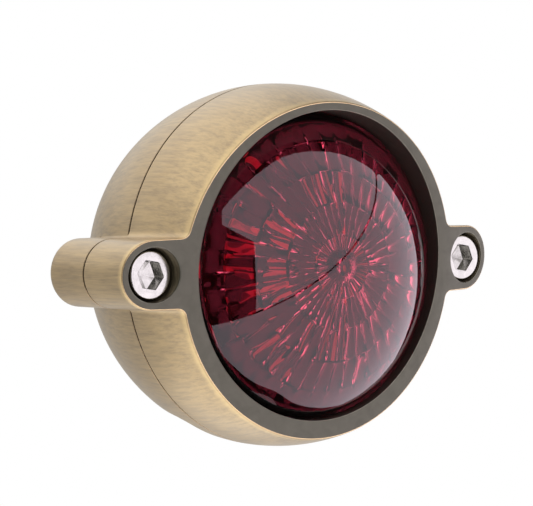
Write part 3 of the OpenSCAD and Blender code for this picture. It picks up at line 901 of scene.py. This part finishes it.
# %% Bright steel, and placing both bolts
def bright_steel():
    made, tree, shader = new_material("bolt_steel")
    cloud = use_group(tree, CLOUD, scale=700.0, low=0.3, high=0.7)
    tone = mix_colour(tree, cloud.outputs["Cloud"], (0.50, 0.50, 0.465), (0.43, 0.43, 0.40))
    where = node(tree, "TexCoord").outputs["Object"]
    fine = node(tree, "TexNoise", {"Vector": where, "Scale": 6000.0, "Detail": 3.0}).outputs["Fac"]
    tree.links.new(tone, shader.inputs["Base Color"])
    shader.inputs["Metallic"].default_value = 1.0
    tree.links.new(node(tree, "MapRange", {"Value": cloud.outputs["Cloud"], 3: 0.16, 4: 0.27}).outputs[0],
                   shader.inputs["Roughness"])
    bump = node(tree, "Bump", {"Height": fine, "Strength": 0.15, "Distance": 0.00003})
    tree.links.new(bump.outputs[0], shader.inputs["Normal"])
    return made


BOLT_STEEL = bright_steel()
for side, word in ((-1, "left"), (1, "right")):
    bolt = bolt_solid(side).build("bolt_made_" + word, [BOLT_STEEL], 40)
    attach(bolt, word + "_bolt")
    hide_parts("bolt_" + word)
    print(bolt.name, len(bolt.data.vertices), "points")


# %% [markdown]
# ## Everything behind the lens
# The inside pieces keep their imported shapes, which are right. They get finishes made from
# the same groups: moulded plastics with a faint orange-peel, rubber with a dusty bloom,
# a green board with copper tracks under its lacquer, and turned or drawn metals.

# %% Finish makers for the inside pieces
def moulded(name, colour, second, rough, scale=600.0, bump=0.2, metal=0.0, gloss=0.5):
    """A plastic, rubber or plated finish with cloudy tone and a fine skin texture."""
    made, tree, shader = new_material(name)
    cloud = use_group(tree, CLOUD, scale=scale, low=0.32, high=0.68)
    tree.links.new(mix_colour(tree, cloud.outputs["Cloud"], colour, second), shader.inputs["Base Color"])
    spread = node(tree, "MapRange", {"Value": cloud.outputs["Cloud"], 3: rough * 0.85,
                                     4: min(1.0, rough * 1.15)})
    tree.links.new(spread.outputs[0], shader.inputs["Roughness"])
    shader.inputs["Metallic"].default_value = metal
    shader.inputs["Specular IOR Level"].default_value = gloss
    where = node(tree, "TexCoord").outputs["Object"]
    skin = node(tree, "TexNoise", {"Vector": where, "Scale": 4200.0, "Detail": 3.0}).outputs["Fac"]
    lift = node(tree, "Bump", {"Height": skin, "Strength": bump, "Distance": 0.00005})
    tree.links.new(lift.outputs[0], shader.inputs["Normal"])
    return made


def circuit_board():
    """Green lacquer over copper tracks, with the glass weave just showing."""
    made, tree, shader = new_material("circuit_board")
    where = node(tree, "TexCoord").outputs["Object"]
    bricks = node(tree, "TexBrick", {"Vector": where, "Scale": 150.0, "Mortar Size": 0.03,
                                     "Mortar Smooth": 0.1, "Color1": (0, 0, 0, 1),
                                     "Color2": (0, 0, 0, 1), "Mortar": (1, 1, 1, 1)})
    cloud = use_group(tree, CLOUD, scale=300.0, low=0.3, high=0.7)
    lacquer = mix_colour(tree, cloud.outputs["Cloud"], (0.012, 0.085, 0.035), (0.016, 0.11, 0.045))
    tree.links.new(mix_colour(tree, bricks.outputs["Color"], lacquer, (0.03, 0.19, 0.07)),
                   shader.inputs["Base Color"])
    tree.links.new(node(tree, "MapRange", {"Value": cloud.outputs["Cloud"], 3: 0.28, 4: 0.4}).outputs[0],
                   shader.inputs["Roughness"])
    weave = node(tree, "TexNoise", {"Vector": where, "Scale": 2600.0, "Detail": 2.0}).outputs["Fac"]
    height = math_node(tree, "MULTIPLY_ADD", weave, 0.4, bricks.outputs["Color"])
    lift = node(tree, "Bump", {"Height": height, "Strength": 0.3, "Distance": 0.00004})
    tree.links.new(lift.outputs[0], shader.inputs["Normal"])
    return made


def clear_window():
    made, tree, shader = new_material("window_clear")
    cloud = use_group(tree, CLOUD, scale=500.0, low=0.3, high=0.7)
    shader.inputs["Base Color"].default_value = (0.93, 0.95, 0.95, 1)
    shader.inputs["Transmission Weight"].default_value = 1.0
    shader.inputs["IOR"].default_value = 1.49
    tree.links.new(node(tree, "MapRange", {"Value": cloud.outputs["Cloud"], 3: 0.03, 4: 0.09}).outputs[0],
                   shader.inputs["Roughness"])
    return made


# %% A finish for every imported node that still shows
RUBBER = moulded("seal_rubber", (0.018, 0.018, 0.018), (0.03, 0.029, 0.028), 0.72, 900.0, 0.35)
# Painted shade: the reflector bowl is near-black and nearly unreflective, standing in for the dark inside of the
# housing.
REFLECTOR_PAINTED_SHADE = moulded("reflector_bowl_painted_shade", (0.010, 0.008, 0.009), (0.016, 0.013, 0.014), 0.62, 300.0, 0.1,
                    gloss=0.06)
CARRIER = moulded("carrier_plastic", (0.022, 0.023, 0.025), (0.032, 0.033, 0.036), 0.5, 500.0)
PACKAGE = moulded("lamp_package", (0.86, 0.84, 0.78), (0.80, 0.77, 0.70), 0.4, 1800.0, 0.1)
CHIP = moulded("part_black", (0.02, 0.02, 0.021), (0.045, 0.043, 0.042), 0.55, 1500.0, 0.3)
CAN = moulded("capacitor_can", (0.74, 0.74, 0.75), (0.64, 0.64, 0.66), 0.28, 700.0, 0.12, 1.0)
HEADER = moulded("header_nylon", (0.82, 0.80, 0.72), (0.76, 0.73, 0.64), 0.45, 900.0)
SCREW = moulded("screw_steel", (0.62, 0.60, 0.56), (0.50, 0.48, 0.45), 0.33, 1200.0, 0.15, 1.0)
NYLON = moulded("washer_nylon", (0.025, 0.025, 0.027), (0.04, 0.04, 0.042), 0.42, 1100.0)
BOARD = circuit_board()
WINDOW = clear_window()
FINISHES = {"housing_seal": RUBBER, "lens_seal": RUBBER, "window_seal": RUBBER, "cable_grommet": RUBBER,
            "reflector": REFLECTOR_PAINTED_SHADE, "board_carrier": CARRIER, "carrier_screws": SCREW, "board_screws": SCREW,
            "plate_board_screws": SCREW, "led_board": BOARD, "plate_board": BOARD, "brake_leds": PACKAGE,
            "tail_leds": PACKAGE, "plate_leds": PACKAGE, "resistors": CHIP, "diodes": CHIP,
            "driver_chip": CHIP, "capacitor": CAN, "lead_header": HEADER, "board_socket": CHIP,
            "plate_window": WINDOW, "washer_left": NYLON, "washer_right": NYLON}
for name, finish in FINISHES.items():
    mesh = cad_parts[name].data
    mesh.materials.clear()
    mesh.materials.append(finish)
print("packed nodes dressed:", len(FINISHES))


# %% [markdown]
# ## The red lens
# The dome is smooth outside and fluted inside: radial ribs crossed by shallow rings make
# a field of small pillows, each of which shows its own small picture of the lamps behind.
# A bump map on plain glass would tint but not bend light sideways, so the flutes are
# real: one closed solid with a finely divided inner face.

# %% Fluted lens
DOME_R = 38.5
D_DOME_AXIS = 30.2
LENS_T = 2.2
INNER_R = 52.0
SKIRT_R = 27.95
D_FLANGE = 7.1
D_FLANGE_BACK = 9.1
FLANGE_R = 30.0
RIBS = 44
RING_PITCH = 5.4
RIB_BEND = 1.3
RING_BEND = 2.2
TILT = 11.0
BOSS_R = 1.5
BOSS_BALL_R = 3.0


def sphere_depth(r, radius):
    return D_DOME_AXIS - np.sqrt(radius ** 2 - np.square(r))


def pillow(phase, bend):
    """Height of a round rib of unit width whose radius is bend, at a phase from 0 to 1."""
    return np.sqrt(bend ** 2 - (np.mod(phase, 1) - 0.5) ** 2) - math.sqrt(bend ** 2 - 0.25)


chance = np.random.default_rng(11)
tilts = np.tan(np.radians(chance.uniform(-TILT, TILT, (8, RIBS))))


def flute_height(r, angle):
    """How far the inner face stands in from its sphere: pillows, each tilted its own way."""
    width = 2 * np.pi * r / RIBS
    turn = angle * RIBS / (2 * np.pi)
    ring = r / RING_PITCH
    across = width * pillow(turn, RIB_BEND)
    along = RING_PITCH * pillow(ring, RING_BEND)
    leaning = tilts[int(ring), np.floor(turn).astype(int) % RIBS] * (ring % 1 - 0.5) * RING_PITCH
    fade = np.clip((25.3 - r) / 4, 0, 1) ** 0.7 * np.clip((r - BOSS_R) / 1.5, 0, 1)
    boss = math.sqrt(BOSS_BALL_R ** 2 - min(r, BOSS_R) ** 2) - math.sqrt(BOSS_BALL_R ** 2 - BOSS_R ** 2)
    return (across + along + leaning + 0.35) * fade + boss


# %% The lens as one closed solid
def lens_solid():
    shape = LoopMesh()
    count = RIBS * 8
    angle = np.linspace(0, 2 * np.pi, count, endpoint=False)

    def ring(r, d):
        return shape.loop(r * np.cos(angle), d, r * np.sin(angle))

    rows = [ring(0, sphere_depth(0, DOME_R))]
    for r in np.concatenate([np.linspace(0.4, 4, 5), np.linspace(5, SKIRT_R - 0.3, 30)]):
        rows.append(ring(r, sphere_depth(r, DOME_R)))
    edge = float(sphere_depth(SKIRT_R, DOME_R))
    rows += [ring(SKIRT_R - 0.1, edge + 0.02), ring(SKIRT_R, edge + 0.25), ring(SKIRT_R, 5.0),
             ring(SKIRT_R, D_FLANGE), ring(FLANGE_R, D_FLANGE), ring(FLANGE_R, D_FLANGE_BACK)]
    wall = SKIRT_R - LENS_T
    rows += [ring(wall, D_FLANGE_BACK), ring(wall, 7.0)]
    inner_edge = float(sphere_depth(wall, DOME_R - LENS_T))
    for r in [*np.linspace(wall, 0.35, 110), 0.0]:
        bowed = inner_edge + math.sqrt(INNER_R ** 2 - wall ** 2) - math.sqrt(INNER_R ** 2 - r ** 2)
        rows.append(ring(r, bowed + flute_height(r, angle)))
    shape.stack(rows)
    return shape


# %% Red plastic, and placing the lens
def red_glass():
    """Clear red plastic: a slightly uneven tint, a faint haze and a barely wavy skin."""
    made, tree, shader = new_material("red_lens")
    cloud = use_group(tree, CLOUD, scale=160.0, low=0.3, high=0.7)
    tree.links.new(mix_colour(tree, cloud.outputs["Cloud"], (0.68, 0.07, 0.125), (0.62, 0.055, 0.10)),
                   shader.inputs["Base Color"])
    shader.inputs["Transmission Weight"].default_value = 1.0
    shader.inputs["IOR"].default_value = 1.49
    tree.links.new(node(tree, "MapRange", {"Value": cloud.outputs["Cloud"], 3: 0.0, 4: 0.012}).outputs[0],
                   shader.inputs["Roughness"])
    where = node(tree, "TexCoord").outputs["Object"]
    wave = node(tree, "TexNoise", {"Vector": where, "Scale": 220.0, "Detail": 1.0}).outputs["Fac"]
    skin = node(tree, "Bump", {"Height": wave, "Strength": 0.04, "Distance": 0.00003})
    tree.links.new(skin.outputs[0], shader.inputs["Normal"])
    return made


lens = lens_solid().build("lens_fluted", [red_glass()], 50)
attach(lens, "light")
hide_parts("lens")
print("lens", len(lens.data.vertices), "points")
